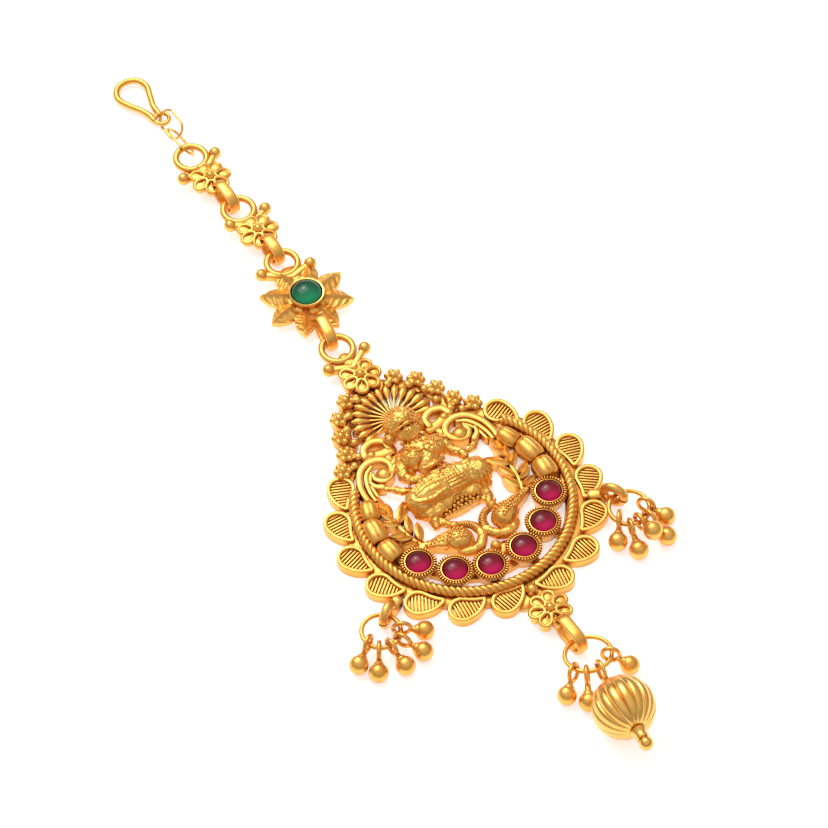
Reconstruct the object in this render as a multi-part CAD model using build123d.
from build123d import *
import os
from math import atan2, cos, degrees, hypot, radians, sin

# A maang tikka: a hair hook, a short chain of cast flower links, a pierced temple-work pendant
# with a seated goddess between two peacocks, and clusters of small bells, laid flat on its back.
# Millimetres. While modelling, the origin is the centre of the pendant's rope circle on the
# resting plane, +X is the wearer's left, +Y runs up the chain to the hook and +Z faces the viewer.
# The last step moves everything so that the origin is the bottom centre of the whole piece.

os.makedirs("parts", exist_ok=True)

# ---------------------------------------------------------------- driving dimensions
ROPE_R = 16.1  # twisted wire circle, centreline radius
ROPE_WIRE = 0.73
ROPE_Z = 1.5
ROPE_OPEN = 38  # degrees above horizontal where the rope stops on each side

BAND_IN = 15.2  # flat band that carries the rope and the petals
BAND_OUT = 17.9
BACK = 1.0  # thickness of the cast back

PETALS_A_SIDE = 7
PETAL_PITCH = 19.15  # degrees
PETAL_FIRST = 39.6
PETAL_R = 19.05  # centre of the petal's round head
PETAL_HEAD = 2.1
PETAL_LENGTH = 4.4  # head centre to tail tip
PETAL_LEAN = 24  # degrees that the tail leans in from the tangent
PETAL_TOP = 1.45
PETAL_FLOOR = 0.55
RIM = 0.52
RIB_PITCH = 0.56
RIB_WIDTH = 0.28
RIB_TOP = 1.05

STONE_R = 1.95  # ruby cabochon
CUP_OUT = 2.62
CUP_FOOT = 2.25
CUP_TOP = 2.55
CUP_SEAT = 1.45
STONE_TOP = 3.45
FIT_GAP = 0.05  # round each stone

EMERALD_R = 2.35
EMERALD_CUP_OUT = 2.85

LINK_Z = 2.1  # mid height of the chain's flat rings
LINK_RING_R = 2.4
LINK_WIRE = 0.56
BAIL_HIGH = 4.2  # upright loops, from the resting plane up
BAIL_WIRE = 0.6
BAIL_WIDE = 0.85  # half the width of the upright loop's band
FLOWER_R = 3.35
FLOWER_PETALS = 7

RING_WIRE = 0.33  # jump rings that carry the bells
BELL_R = 1.45
BELL_NECK = 0.4
BELL_LOOP_R = 1.25
BELL_WIRE = 0.3

DROP_R = 4.65
DROP_RIBS = 16

HOOK_WIRE = 0.5
THIN_WIRE = 0.22


# ---------------------------------------------------------------- small helpers
def polar(radius, angle, height=0.0):
    """Point at an angle in degrees round the origin."""
    return Vector(radius * cos(radians(angle)), radius * sin(radians(angle)), height)


def ball(place, radius):
    return Pos(*place) * Sphere(radius)


def blob(place, half_sizes, turn=0.0):
    """Ellipsoid with three half sizes, turned about Z."""
    return Pos(*place) * Rot(0, 0, turn) * scale(Sphere(1), by=half_sizes)


def slab(face, low, high):
    """A face on the XY plane as a plate between two heights."""
    return Pos(0, 0, low) * extrude(face, high - low)


def limb(start, end, start_r, end_r):
    """A tapering round limb with a ball at each end."""
    start = Vector(*start)
    end = Vector(*end)
    along = end - start
    shaft = Plane(origin=start, z_dir=along).location * Cone(
        start_r, end_r, along.length, align=(Align.CENTER, Align.CENTER, Align.MIN)
    )
    return [shaft, ball(start, start_r * 1.05), ball(end, end_r * 1.05)]


def strand(points, start_w, end_w):
    """A flat band along a smooth curve with round ends, whose width changes evenly."""
    spine = Spline(*points)
    steps = 4 * len(points)
    left = []
    right = []
    for i in range(steps + 1):
        half = (start_w + (end_w - start_w) * i / steps) / 2
        place = spine @ (i / steps)
        along = spine % (i / steps)
        side = Vector(-along.Y, along.X) * half
        left.append(place + side)
        right.append(place - side)
    head = (spine @ 1) + (spine % 1) * (end_w / 2)
    foot = (spine @ 0) - (spine % 0) * (start_w / 2)
    edges = [
        Spline(*left),
        ThreePointArc(left[-1], head, right[-1]),
        Spline(*reversed(right)),
        ThreePointArc(right[0], foot, left[0]),
    ]
    return make_face(Curve() + edges)


def leaf_face(length, width):
    """A pointed leaf from the origin along +X."""
    tip = (length, 0)
    edges = [
        ThreePointArc((0, 0), (length / 2, width / 2), tip),
        ThreePointArc(tip, (length / 2, -width / 2), (0, 0)),
    ]
    return make_face(Curve() + edges)


def leaf(place, angle, length, width, low, high):
    """A cast leaf: a flat pointed blade with a raised middle."""
    blade = slab(leaf_face(length, width), low, high - 0.35)
    middle = slab(Pos(length * 0.08, 0) * leaf_face(length * 0.84, width * 0.5), high - 0.4, high)
    return [Pos(place[0], place[1]) * Rot(0, 0, angle) * part for part in (blade, middle)]


def mirrored(parts):
    """The parts and their mirror images across the pendant's middle."""
    return list(parts) + [mirror(part, about=Plane.YZ) for part in parts]


def joined(parts):
    """One solid from overlapping ones, fused one after another."""
    whole = parts[0]
    for part in parts[1:]:
        whole = whole + part
    return whole


def merged(parts):
    """One body from many overlapping ones, fused all at once."""
    return Part() + parts


def above_rest(part):
    """The part of a solid above the resting plane."""
    return part & Pos(0, 0, 20) * Box(80, 140, 40)


def upright_loop(start, end, wire, wide, high):
    """An upright oval loop of flat-sided wire from one point of the plan to another."""
    dx = end[0] - start[0]
    dy = end[1] - start[1]
    length = hypot(dx, dy)
    outer = SlotOverall(length, high)
    inner = SlotOverall(length - 2 * wire * 1.05, high - 2 * wire)
    band = extrude(Plane.XZ * (outer - inner), wide, both=True)
    rounded = fillet(band.edges(), wire * 0.45)
    middle = Pos((start[0] + end[0]) / 2, (start[1] + end[1]) / 2, high / 2)
    return middle * Rot(0, 0, degrees(atan2(dy, dx))) * rounded


# ---------------------------------------------------------------- the pendant's border
def petal_outline():
    """Paisley outline: a round head at the origin and a tail that ends at +X."""
    r = PETAL_HEAD
    length = PETAL_LENGTH
    back_dir = radians(-80)  # from the head to the outer side's arc centre
    s = (length**2 - r**2) / (2 * r + 2 * length * cos(back_dir))
    outer_c = Vector(s * cos(back_dir), s * sin(back_dir))
    outer_r = r + s
    in_dir = radians(-48)  # from the head to the hollow side's arc centre
    reach = length * cos(in_dir)
    hollow_r = (length**2 + r**2 - 2 * r * reach) / (2 * reach - 2 * r)
    hollow_c = Vector(cos(in_dir), sin(in_dir)) * (r + hollow_r)
    tip = Vector(length, 0)
    top = Vector(cos(back_dir), sin(back_dir)) * -r
    turn_in = Vector(cos(in_dir), sin(in_dir)) * r
    outer_mid = outer_c + ((top - outer_c) + (tip - outer_c)).normalized() * outer_r
    hollow_mid = hollow_c + ((turn_in - hollow_c) + (tip - hollow_c)).normalized() * hollow_r
    edges = [
        ThreePointArc(top, Vector(-r, 0), turn_in),
        ThreePointArc(turn_in, hollow_mid, tip),
        ThreePointArc(tip, outer_mid, top),
    ]
    return make_face(Curve() + edges)


def petal():
    """One petal: a rimmed paisley with a ribbed floor. The hollow side faces -Y."""
    outline = petal_outline()
    pocket = offset(outline, -RIM, kind=Kind.INTERSECTION)
    body = slab(outline, 0, PETAL_TOP) - slab(pocket, PETAL_FLOOR, PETAL_TOP + 1)
    ribs = []
    for i in range(int((PETAL_LENGTH + PETAL_HEAD) / RIB_PITCH)):
        x = -PETAL_HEAD + RIM + (i + 0.6) * RIB_PITCH
        ribs.append(Pos(x, 0) * Rot(0, 0, 8) * Rectangle(RIB_WIDTH, 3 * PETAL_HEAD))
    bars = (Sketch() + ribs) & offset(outline, -RIM * 0.8, kind=Kind.INTERSECTION)
    return body + slab(bars, PETAL_FLOOR - 0.1, RIB_TOP)


def petals():
    """The right-hand row of petals, whose tails point down along the rope."""
    one = petal()
    row = []
    for i in range(PETALS_A_SIDE):
        angle = PETAL_FIRST - i * PETAL_PITCH
        place = polar(PETAL_R, angle)
        row.append(Pos(*place) * Rot(0, 0, angle - 90 - PETAL_LEAN) * one)
    return row


def band():
    """The flat band under the rope, open at the top."""
    ring = Circle(BAND_OUT) - Circle(BAND_IN)
    open_top = Polygon((0, 0), polar(40, ROPE_OPEN), (0, 60), polar(40, 180 - ROPE_OPEN), align=None)
    return slab(ring - open_top, 0, BACK)


def rope():
    sweep_angle = 180 + 2 * ROPE_OPEN
    wire = Torus(ROPE_R, ROPE_WIRE, major_angle=sweep_angle)
    return Pos(0, 0, ROPE_Z) * Rot(0, 0, 180 - ROPE_OPEN) * wire


# ---------------------------------------------------------------- stones and settings
# x, y of the stones on the right-hand side
RUBY_PLACES = [(11.5, -5.6), (7.75, -9.6), (2.9, -11.7)]


def cup(place, foot_r, out_r, stone_r, seat, top):
    """A cup setting, turned about its own axis, with a thickened rim."""
    lip = out_r - 0.18
    profile = Polyline(
        (0, 0),
        (foot_r, 0),
        (lip, top - 0.55),
        (out_r, top - 0.35),
        (out_r, top - 0.1),
        (lip, top),
        (stone_r + FIT_GAP, top - 0.12),
        (stone_r + FIT_GAP, seat),
        (0, seat),
        close=True,
    )
    turned = revolve(make_face(Plane.XZ * profile), Axis.Z)
    return Pos(place[0], place[1]) * turned


def cabochon(place, radius, low, high):
    """A domed stone with a short straight girdle."""
    girdle = low + 0.75
    rise = high - girdle
    dome_r = (radius**2 + rise**2) / (2 * rise)
    body = Pos(0, 0, (low + high) / 2) * Cylinder(radius, high - low)
    dome = Pos(0, 0, high - dome_r) * Sphere(dome_r)
    return Pos(place[0], place[1]) * (body & dome)


def setting_web():
    """The low crescent that joins the ruby cups to each other and to the band."""
    ring = Circle(13.1) - Circle(11.7)
    keep = Polygon((0, 0), polar(30, -24), (0, -60), polar(30, 204), align=None)
    web = ring & keep
    for x, y in RUBY_PLACES:
        angle = degrees(atan2(y, x))
        for side in (angle, 180 - angle):
            web += Rot(0, 0, side) * Pos(14.3, 0) * Rectangle(2.6, 1.5)
    return slab(web, 0, BACK)


# ---------------------------------------------------------------- melon beads
# x, y, half width, half length of the beads on the right-hand side
MELONS = [(12.5, 6.4, 1.3, 1.3), (13.65, 2.7, 1.6, 1.8), (13.7, -1.25, 1.6, 1.7)]
MELON_Z = 1.55


def melons():
    """Cast melon beads, long along the border, on a low strip."""
    parts = []
    for x, y, half_w, half_l in MELONS:
        parts.append(blob((x, y, MELON_Z), (half_w, half_l, 1.5)))
        parts.append(Pos(x, y) * slab(Rectangle(half_w * 1.2, half_l * 1.9), 0, MELON_Z))
    strip = strand([(12.4, 7.6), (13.7, 3.4), (14.2, -1.4), (13.7, -4.4)], 1.0, 1.0)
    parts.append(slab(strip, 0, BACK))
    for x, y in ((14.4, 4.6), (15.0, 0.7), (14.9, 3.0), (15.0, -2.2), (13.8, 7.3)):
        parts.append(Pos(x, y) * slab(Circle(0.9), 0, BACK))
    return parts


# ---------------------------------------------------------------- scrolls, leaves and rays
SCROLL_TOP = 1.8


def scrolls():
    """The large volute, its trailing strands and the small upper C, right-hand side."""
    outer = strand(
        [(4.6, 11.3), (5.6, 13.0), (7.6, 13.9), (9.7, 13.1), (11.0, 11.0), (11.5, 8.6), (11.4, 7.2)], 1.0, 0.7
    )
    middle = strand([(6.0, 12.6), (7.8, 13.1), (9.4, 12.0), (10.2, 10.0), (10.4, 7.8)], 0.7, 0.6)
    curl = strand(
        [(5.7, 12.9), (5.3, 11.3), (6.0, 10.1), (7.3, 10.0), (8.2, 11.0), (7.8, 12.1), (6.9, 12.2)], 0.9, 0.6
    )
    inner = strand([(8.2, 12.9), (9.2, 11.4), (9.3, 9.8), (8.0, 9.1)], 0.7, 1.1)
    small_c = strand([(4.4, 14.5), (4.45, 15.7), (5.7, 16.8), (7.3, 16.1), (7.4, 14.9)], 0.8, 0.7)
    small_in = strand([(3.6, 14.6), (4.8, 14.3), (6.2, 14.9), (7.4, 14.7)], 1.2, 0.9)
    tie = strand([(4.2, 11.2), (4.6, 12.8), (3.6, 14.6)], 1.0, 0.9)
    top = SCROLL_TOP
    parts = [slab(face, 0, top) for face in (outer, curl, small_c)]
    parts += [slab(face, 0, top - 0.2) for face in (inner, tie)]
    parts += [slab(face, 0, top - 0.35) for face in (middle, small_in)]
    parts.append(ball((7.0, 11.2, 1.0), 0.95))
    parts.append(Pos(7.0, 11.2) * slab(Circle(0.8), 0, 1.0))
    return parts


# x, y of the stalk end, direction in degrees, length and width of each leaf, right-hand side
LEAVES = [
    (9.6, 5.6, 150, 3.0, 1.1),
    (10.0, 3.4, 158, 3.6, 1.1),
    (9.6, -0.2, 138, 2.9, 1.1),
    (9.3, -1.2, 160, 2.2, 1.0),
    (10.0, 3.6, 52, 2.6, 1.0),
    (9.9, 1.4, 50, 3.0, 1.1),
    (9.6, -0.9, 44, 3.2, 1.2),
    (9.2, -2.3, 22, 3.4, 1.2),
    (9.9, 5.6, 78, 2.6, 1.0),
    (10.0, 2.4, 92, 3.2, 1.0),
]


def leaf_spray():
    """The leafy stem between the figure and the melon beads, right-hand side."""
    stem = strand([(8.3, -3.4), (9.4, -1.6), (9.9, 1.8), (9.9, 5.2), (10.5, 8.0)], 1.0, 0.6)
    parts = [slab(stem, 0, 1.4)]
    for x, y, angle, length, width in LEAVES:
        parts += leaf((x, y), angle, length, width, 0, 1.6)
    return parts


FAN_CENTRE = (0, 18.6)
FAN_RAYS = 17


def fan():
    """The rayed halo behind the head: thin stalks that end in drops."""
    parts = [slab(Pos(*FAN_CENTRE) * Circle(1.7), 0, 1.6)]
    for i in range(FAN_RAYS):
        angle = -14 + i * 208 / (FAN_RAYS - 1)
        turn = Pos(*FAN_CENTRE) * Rot(0, 0, angle)
        stalk = Pos(2.6, 0) * Rectangle(2.6, 0.38)
        drop = Pos(4.75, 0) * Ellipse(1.55, 0.56)
        parts.append(turn * slab(stalk, 0, 1.5))
        parts.append(turn * slab(drop, 0, 1.3))
        parts.append(turn * blob((4.6, 0, 1.3), (1.35, 0.5, 0.75)))
    return parts


# x, y of the rosettes down the right-hand shoulder
ROSETTES = [(4.3, 25.1), (6.9, 22.9), (8.5, 19.9), (9.6, 16.9), (11.6, 14.5)]
ROSETTE_R = 0.95


def rosettes():
    """Small flowers of balls along the sloping shoulder, with single balls behind them."""
    parts = []
    for x, y in ROSETTES:
        here = Pos(x, y)
        parts.append(here * slab(Circle(1.15), 0, 1.4))
        parts.append(here * ball((0, 0, 1.75), 0.62))
        for i in range(6):
            parts.append(here * ball(polar(ROSETTE_R, 20 + 60 * i, 1.45), 0.46))
    for x, y in ((5.3, 22.6), (6.9, 20.6), (7.3, 18.0), (8.2, 15.5), (9.6, 14.4), (2.7, 24.4)):
        parts.append(ball((x, y, 1.3), 0.62))
        parts.append(Pos(x, y) * slab(Circle(0.5), 0, 1.3))
    edge = strand([(3.2, 24.9), (6.0, 22.6), (7.7, 19.6), (8.7, 16.6), (10.6, 14.0)], 1.6, 1.6)
    parts.append(slab(edge, 0, BACK))
    foot = strand([(10.6, 14.2), (12.2, 12.4), (13.2, 10.2)], 1.4, 1.6)
    parts.append(slab(foot, 0, BACK))
    return parts


# ---------------------------------------------------------------- peacocks
def peacock():
    """A peacock whose neck curls round under its breast, right-hand side."""
    body = blob((4.3, -5.3, 1.6), (2.5, 1.65, 1.6), 18)
    tail = strand([(5.0, -5.0), (7.4, -4.2), (10.2, -3.2)], 2.6, 0.9)
    neck = Pos(2.9, -5.3, 1.3) * Rot(0, 0, 88) * Torus(2.45, 0.72, major_angle=235)
    neck_back = Circle(2.75) - Circle(2.1)
    right_side = Pos(4.0, 0) * Rectangle(5.0, 9.0)
    under_neck = Pos(2.9, -5.3) * (neck_back - (right_side & neck_back))
    head = blob((3.3, -2.6, 1.7), (1.0, 0.8, 0.9), 10)
    beak = limb((3.6, -2.4, 1.7), (4.5, -1.7, 1.6), 0.42, 0.2)
    back = strand([(2.6, -6.6), (4.4, -6.0), (6.2, -4.9)], 1.6, 1.4)
    return [body, slab(tail, 0, 1.7), neck, slab(under_neck, 0, 1.2), head, *beak, slab(back, 0, 1.5)]


# ---------------------------------------------------------------- the seated figure
def figure():
    """A crowned goddess seated cross-legged, in high relief, with plain features."""
    middle = [
        *limb((0, 5.2, 2.1), (0, 10.3, 2.2), 2.2, 2.5),  # waist
        *limb((0, 1.0, 3.2), (0, 5.6, 3.4), 1.1, 1.4),  # gathered sash
        *limb((0, 11.5, 2.1), (0, 13.7, 2.7), 1.3, 1.1),  # neck
        ball((0, 14.4, 3.4), 1.75),  # head
        *limb((0, 15.5, 3.0), (0, 17.3, 2.2), 1.6, 1.0),  # crown
    ]
    side = [
        *limb((0.4, 3.7, 2.2), (5.3, 3.0, 2.1), 2.6, 1.9),  # thigh and knee
        *limb((5.7, 2.2, 1.8), (0.4, 1.0, 1.8), 1.5, 1.2),  # shin
        *limb((4.9, -0.2, 1.1), (3.7, -0.7, 1.1), 0.95, 0.8),  # foot
        ball((1.3, 10.6, 3.4), 1.35),  # breast
        ball((2.5, 16.0, 1.8), 1.15),  # hair bun beside the crown
        *limb((2.5, 11.3, 2.4), (4.6, 9.0, 2.2), 0.95, 0.8),  # upper arm
        *limb((4.65, 8.9, 2.2), (5.3, 6.0, 2.4), 0.75, 0.6),  # lower arm
        *limb((2.6, 11.9, 1.8), (4.8, 11.3, 1.6), 0.7, 0.6),  # rear arm
        *limb((5.4, 6.8, 1.9), (7.4, 7.9, 1.4), 0.7, 0.5),  # open hand
        slab(strand([(6.2, 4.9), (7.8, 4.0), (10.0, 2.6)], 1.1, 0.7), 0, 1.4),  # scarf end
        slab(strand([(6.2, 7.5), (8.0, 8.2), (9.6, 8.0)], 0.9, 0.7), 0, 1.45),
        slab(strand([(4.3, -0.4), (3.6, -1.6), (3.2, -2.8)], 1.1, 0.9), 0, 1.55),
    ]
    back = slab(Polygon((-6, 1.6), (-2.2, 0), (2.2, 0), (6, 1.6), (6, 5.6), (-6, 5.6), align=None), 0, 1.2)
    spine = slab(Pos(0, 10.5) * Rectangle(3.0, 13.0), 0, 1.25)
    seat = []
    for i in range(9):
        seat.append(ball((-2.9 + i * 0.725, 0.2, 1.5), 0.5))
    base = slab(Pos(0, 0.1) * Rectangle(6.6, 1.1), 0, 1.5)
    whole = joined(middle + mirrored(side) + [back, spine, base, *seat])
    return above_rest(whole)


# ---------------------------------------------------------------- flowers, rings and loops
def flower(place, low, high, turn=90.0):
    """An open flower: rimmed oval petals round a ball, on a thin back."""
    rims = []
    pockets = []
    for i in range(FLOWER_PETALS):
        spot = Rot(0, 0, turn + i * 360 / FLOWER_PETALS) * Pos(FLOWER_R - 1.4, 0)
        rims.append(spot * Ellipse(1.4, 1.08))
        pockets.append(spot * Ellipse(0.85, 0.55))
    outline = Sketch() + rims + Circle(0.9)
    floor = low + 0.75
    body = slab(outline, low, floor) + slab(outline - (Sketch() + pockets), floor - 0.1, high)
    centre = ball((0, 0, high + 0.05), 0.62)
    return [Pos(place[0], place[1]) * part for part in (body, centre)]


def flat_ring(place, height, turn=0):
    return Pos(place[0], place[1], height) * Rot(0, 0, turn) * Torus(LINK_RING_R, LINK_WIRE)


# name, flower x, y, ring x, y, left ball x, y, right ball x, y, loop start x, y and end x, y
FLOWER_LINKS = [
    ("flower_link_1", (1.35, 72.7), (1.0, 77.9), (-2.2, 75.0), (4.7, 76.8), (1.4, 71.3), (1.45, 65.2)),
    ("flower_link_2", (1.9, 59.6), (1.65, 64.9), (-1.05, 63.05), (5.3, 63.0), (1.85, 58.2), (1.8, 52.7)),
]
FLOWER_LOW = 1.5
FLOWER_HIGH = 3.0
SIDE_BALL = 1.0


def tie_bar(start, end, low, high, width=1.1):
    """A low cast bar between two points of the plan."""
    return slab(strand([start, ((start[0] + end[0]) / 2, (start[1] + end[1]) / 2), end], width, width), low, high)


def flower_link(row):
    """A chain link: flat ring above, flower, two balls and an upright loop below."""
    name, centre, ring, left, right, loop_start, loop_end = row
    parts = flower(centre, FLOWER_LOW, FLOWER_HIGH)
    parts.append(flat_ring(ring, LINK_Z))
    for spot in (left, right):
        parts.append(ball((spot[0], spot[1], 2.1), SIDE_BALL))
        parts.append(tie_bar(spot, (centre[0], centre[1] + 1.6), 1.6, 2.5))
    parts.append(upright_loop(loop_start, loop_end, BAIL_WIRE, BAIL_WIDE, BAIL_HIGH))
    return merged(parts)


# ---------------------------------------------------------------- the emerald link
EMERALD_AT = (1.3, 44.7)
EMERALD_RING = (1.7, 52.3)
EMERALD_SEAT = 2.3
EMERALD_TOP = 4.6
EMERALD_RIM = 3.45
LEAF_COUNT = 8
LEAF_TURN = 10.5
LEAF_TIP = 7.2


def emerald_link():
    """Eight ridged leaves round a plain bezel, with ring, balls and upright loop."""
    bezel = cup(EMERALD_AT, 2.4, EMERALD_CUP_OUT, EMERALD_R, EMERALD_SEAT, EMERALD_RIM)
    parts = [bezel & (Pos(EMERALD_AT[0], EMERALD_AT[1], 4.0) * Cylinder(4, 6))]
    here = Pos(EMERALD_AT[0], EMERALD_AT[1])
    for i in range(LEAF_COUNT):
        turn = here * Rot(0, 0, LEAF_TURN + i * 360 / LEAF_COUNT)
        blade = Pos(1.2, 0) * leaf_face(LEAF_TIP - 1.2, 3.3)
        inner = Pos(2.9, 0) * leaf_face(LEAF_TIP - 3.5, 1.5)
        parts.append(turn * slab(blade, 1.2, 2.1))
        parts.append(turn * slab(inner, 2.0, 2.6))
    parts.append(flat_ring(EMERALD_RING, LINK_Z, 200))
    for spot in ((-2.2, 52.1), (5.3, 50.0)):
        parts.append(ball((spot[0], spot[1], 2.1), SIDE_BALL))
        parts.append(tie_bar(spot, (EMERALD_AT[0] + 0.3, EMERALD_AT[1] + 4.6), 1.4, 2.4, 1.5))
    parts.append(tie_bar((1.5, 47.5), (1.7, 50.2), 1.3, 2.2, 3.4))
    parts.append(upright_loop((0.6, 40.6), (-0.45, 34.3), BAIL_WIRE, BAIL_WIDE, BAIL_HIGH))
    return merged(parts)


# ---------------------------------------------------------------- hair hook and thin links
HOOK_Z = 1.0
# x, y along the hook's wire, from its eye round to its free end
HOOK_PATH = [
    (1.95, 89.2),
    (2.05, 91.2),
    (2.7, 93.3),
    (3.3, 95.4),
    (2.6, 97.2),
    (0.8, 97.9),
    (-1.0, 97.3),
    (-1.9, 95.5),
    (-1.2, 93.4),
    (-0.1, 91.5),
    (0.5, 89.9),
    (0.6, 88.6),
]


def hair_hook():
    """A bent wire hook that nearly closes on its own stem, with a small eye."""
    path = Spline(*[(x, y, HOOK_Z) for x, y in HOOK_PATH])
    wire = sweep(Plane(origin=path @ 0, z_dir=path % 0) * Circle(HOOK_WIRE), path)
    eye = Pos(1.85, 88.2, HOOK_Z) * Torus(1.12, 0.38)
    return joined([wire, eye])


def thin_link(middle, length, width, roll, turn=0.0):
    """A long thin wire link, tipped on its side."""
    path = Plane.XY * SlotOverall(length, width, rotation=90).wire()
    start = Plane(origin=path @ 0, z_dir=path % 0)
    wire = sweep(start * Circle(THIN_WIRE), path)
    return Pos(*middle) * Rot(0, 0, turn) * Rot(0, roll, 0) * wire


# ---------------------------------------------------------------- bells and their rings
def jump_ring(middle, radius, tilt):
    """A thin ring and the point and direction at any angle on it."""
    place = Pos(*middle) * Rot(*tilt)
    ring = place * Torus(radius, RING_WIRE)
    return ring, place


def on_ring(place, radius, angle):
    """Point on a ring's centreline, and the wire's direction there."""
    spot = place * Pos(*polar(radius, angle))
    ahead = place * Pos(*polar(radius, angle + 1))
    start = spot.position
    return start, (ahead.position - start).normalized()


def bell(hold, wire_way, ball_at):
    """A ball with a tapering neck and a wire loop that is threaded on a ring."""
    ball_at = Vector(*ball_at)
    along = (ball_at - hold).normalized()
    slack = BELL_LOOP_R - BELL_WIRE - RING_WIRE - 0.1
    hang = (ball_at - hold).length - (BELL_R + BELL_NECK + BELL_LOOP_R + BELL_WIRE)
    middle = hold + along * max(-slack, min(slack, hang))
    across = (wire_way - along * wire_way.dot(along)).normalized()
    loop = Plane(origin=middle, x_dir=along, z_dir=across).location * Torus(BELL_LOOP_R, BELL_WIRE)
    neck_from = middle + along * (BELL_LOOP_R - 0.05)
    neck = limb(neck_from, ball_at - along * BELL_R * 0.6, 0.34, 1.0)[0]
    bead = Plane(origin=ball_at, z_dir=along).location * Sphere(BELL_R)
    return joined([bead, neck, loop])


def side_loop(root, direction):
    """A thick upright ring cast on the edge of the border."""
    centre = (root[0] + 1.9 * cos(radians(direction)), root[1] + 1.9 * sin(radians(direction)))
    ring = Pos(centre[0], centre[1], 2.3) * Rot(0, 0, direction) * Rot(90, 0, 0) * Torus(1.6, 0.7)
    foot = tie_bar((root[0] * 0.93, root[1] * 0.93), (root[0] * 1.01, root[1] * 1.01), 0, 1.8, 1.7)
    return [ring, foot]


# ring middle, radius, tilt, then a row for each bell: angle on the ring, ball x, y, z
LEFT_RING = ((-22.5, -12.6, 2.3), 2.85, (0, 0, 0))
LEFT_BELLS = [
    (195, -28.0, -15.2, 1.5),
    (231, -26.4, -17.9, 1.5),
    (266, -22.5, -19.0, 1.5),
    (302, -19.0, -18.4, 1.5),
    (338, -16.9, -15.5, 1.5),
]
RIGHT_RING = ((19.7, -14.5, 2.3), 3.0, (0, 0, 0))
RIGHT_BELLS = [
    (206, 15.2, -18.1, 1.5),
    (238, 16.9, -21.0, 1.5),
    (268, 19.7, -20.5, 3.7),
    (298, 21.8, -21.3, 1.5),
    (330, 23.7, -18.3, 1.5),
]
BOTTOM_RING = ((-0.1, -32.4, 2.8), 3.4, (-13, 0, 0))
BOTTOM_BELLS = [
    (200, -6.1, -35.8, 1.5),
    (232, -4.1, -38.4, 1.5),
    (318, 4.3, -36.6, 1.6),
]


# ---------------------------------------------------------------- the melon drop
DROP_AT = (-1.75, -43.4, DROP_R)
DROP_TURN = -9.3  # degrees that the finial swings to the right side's left
DROP_TIP = -7  # degrees that the loop end leans down


def melon_drop():
    """A ribbed melon with a cap, a loop above and a finial below."""
    r = DROP_R
    cuts = [Rot(0, 0, i * 360 / DROP_RIBS) * Box(0.42, 3 * r, 1.7 * r) for i in range(DROP_RIBS // 2)]
    star = joined(cuts) - Sphere(r - 0.4)
    finial = [
        Pos(0, 0, -r - 0.7) * Cone(0.95, 1.3, 2.0),
        ball((0, 0, -r - 2.5), 1.05),
    ]
    cap = Pos(0, 0, r + 0.3) * Cone(1.5, 0.45, 1.4)
    loop = Pos(0, 0, r + 2.65) * Rot(0, 90, 0) * Torus(1.5, 0.34)
    whole = joined([Sphere(r) - star, *finial, cap, loop])
    return Pos(*DROP_AT) * Rot(0, 0, DROP_TURN) * Rot(DROP_TIP, 0, 0) * Rot(-90, 0, 0) * whole


# ---------------------------------------------------------------- the pendant as one casting
TOP_FLOWER = (0, 27.6)
TOP_RING = (-0.2, 33.7)
BOTTOM_FLOWER = (0, -22.7)


def fittings():
    """The small castings along the pendant's middle: balls, flowers, ring and loops."""
    parts = [
        ball((0, -8.8, 1.2), 0.85),
        slab(Pos(0, -9.4) * Rectangle(3.4, 2.4), 0, BACK),
        ball((0, -18.1, 1.3), 0.95),
        slab(Pos(0, -18.6) * Rectangle(3.6, 3.4), 0, BACK),
        *flower(TOP_FLOWER, 0.6, 2.6),
        *flower(BOTTOM_FLOWER, 0.6, 2.6, -90),
        flat_ring(TOP_RING, LINK_Z),
        tie_bar((0, 29.5), (-0.1, 31.8), 1.2, 2.4, 2.0),
        slab(Pos(0, 24.9) * Rectangle(4.9, 2.2), 0, 1.5),
        upright_loop((0, -24.6), (0.1, -31.2), BAIL_WIRE, BAIL_WIDE, BAIL_HIGH),
    ]
    for x, y in ((-3.45, 31.1), (3.4, 31.7)):
        parts.append(ball((x, y, 1.9), 1.05))
        parts.append(tie_bar((x, y), (0, 29.6), 1.0, 2.2))
    return parts + side_loop((18.2, -9.7), -58) + side_loop((-18.6, -9.5), -145)


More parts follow.
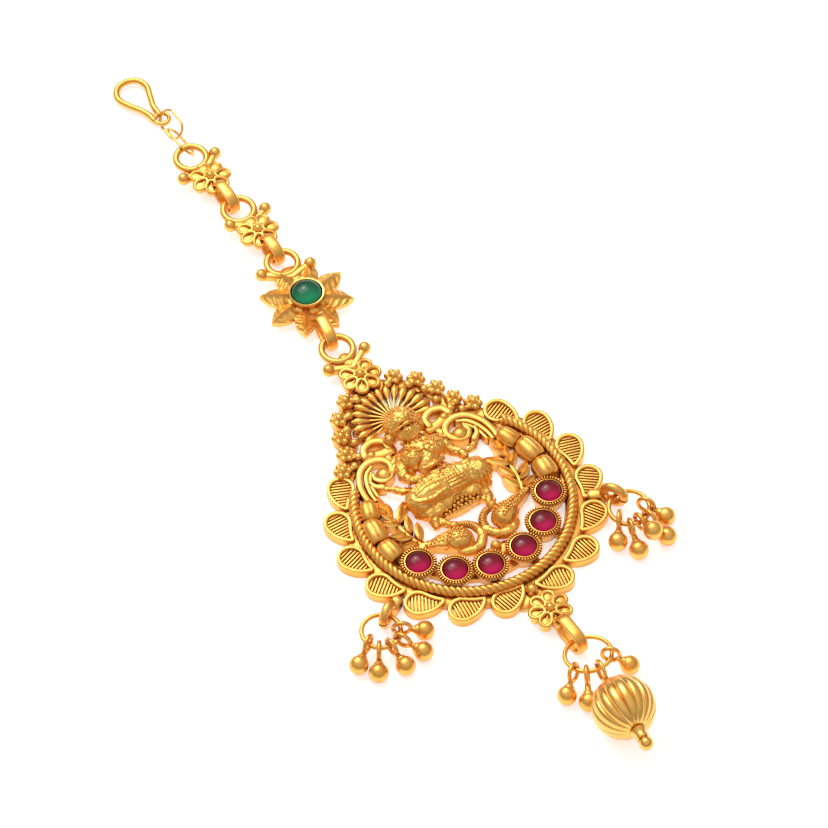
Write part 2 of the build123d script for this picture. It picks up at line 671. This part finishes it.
def pendant():
    cups = [cup(place, CUP_FOOT, CUP_OUT, STONE_R, CUP_SEAT, CUP_TOP) for place in RUBY_PLACES]
    side = [merged(parts) for parts in (melons(), scrolls(), leaf_spray(), rosettes(), peacock(), cups)]
    right = joined([side[0], side[2], side[1], side[3], side[4], side[5]])
    border = joined([band(), merged(mirrored(petals())), rope(), setting_web()])
    middle = [border, merged(fan()), merged(fittings()), figure()]
    return joined(middle + mirrored([right]))


# ---------------------------------------------------------------- every piece, by name
def build():
    pieces = {"pendant": pendant()}
    number = 0
    for sign in (-1, 1):
        places = RUBY_PLACES if sign < 0 else RUBY_PLACES[::-1]
        for x, y in places:
            number += 1
            pieces[f"ruby_{number}"] = cabochon((sign * x, y), STONE_R, CUP_SEAT + FIT_GAP, STONE_TOP)
    pieces["emerald_link"] = emerald_link()
    pieces["emerald"] = cabochon(EMERALD_AT, EMERALD_R, EMERALD_SEAT + FIT_GAP, EMERALD_TOP)
    for row in FLOWER_LINKS:
        pieces[row[0]] = flower_link(row)
    pieces["hair_hook"] = hair_hook()
    pieces["thin_link_1"] = thin_link((2.25, 86.0, 1.55), 5.4, 3.2, -50)
    pieces["thin_link_2"] = thin_link((1.6, 82.0, 1.66), 6.1, 3.4, 51.5)
    rings = (("left", LEFT_RING, LEFT_BELLS), ("right", RIGHT_RING, RIGHT_BELLS), ("bottom", BOTTOM_RING, BOTTOM_BELLS))
    for side, (middle, radius, tilt), rows in rings:
        ring, place = jump_ring(middle, radius, tilt)
        pieces[f"{side}_ring"] = ring
        for i, (angle, x, y, z) in enumerate(rows):
            hold, wire_way = on_ring(place, radius, angle)
            pieces[f"{side}_bell_{i + 1}"] = bell(hold, wire_way, (x, y, z))
    pieces["melon_drop"] = melon_drop()
    return pieces


def main():
    pieces = build()
    boxes = [part.bounding_box() for part in pieces.values()]
    middle_x = (min(box.min.X for box in boxes) + max(box.max.X for box in boxes)) / 2
    middle_y = (min(box.min.Y for box in boxes) + max(box.max.Y for box in boxes)) / 2
    shift = Pos(-middle_x, -middle_y, -min(box.min.Z for box in boxes))
    print("moved by", shift.position)
    for name, part in pieces.items():
        export_step(shift * part, f"parts/{name}.step")


main()
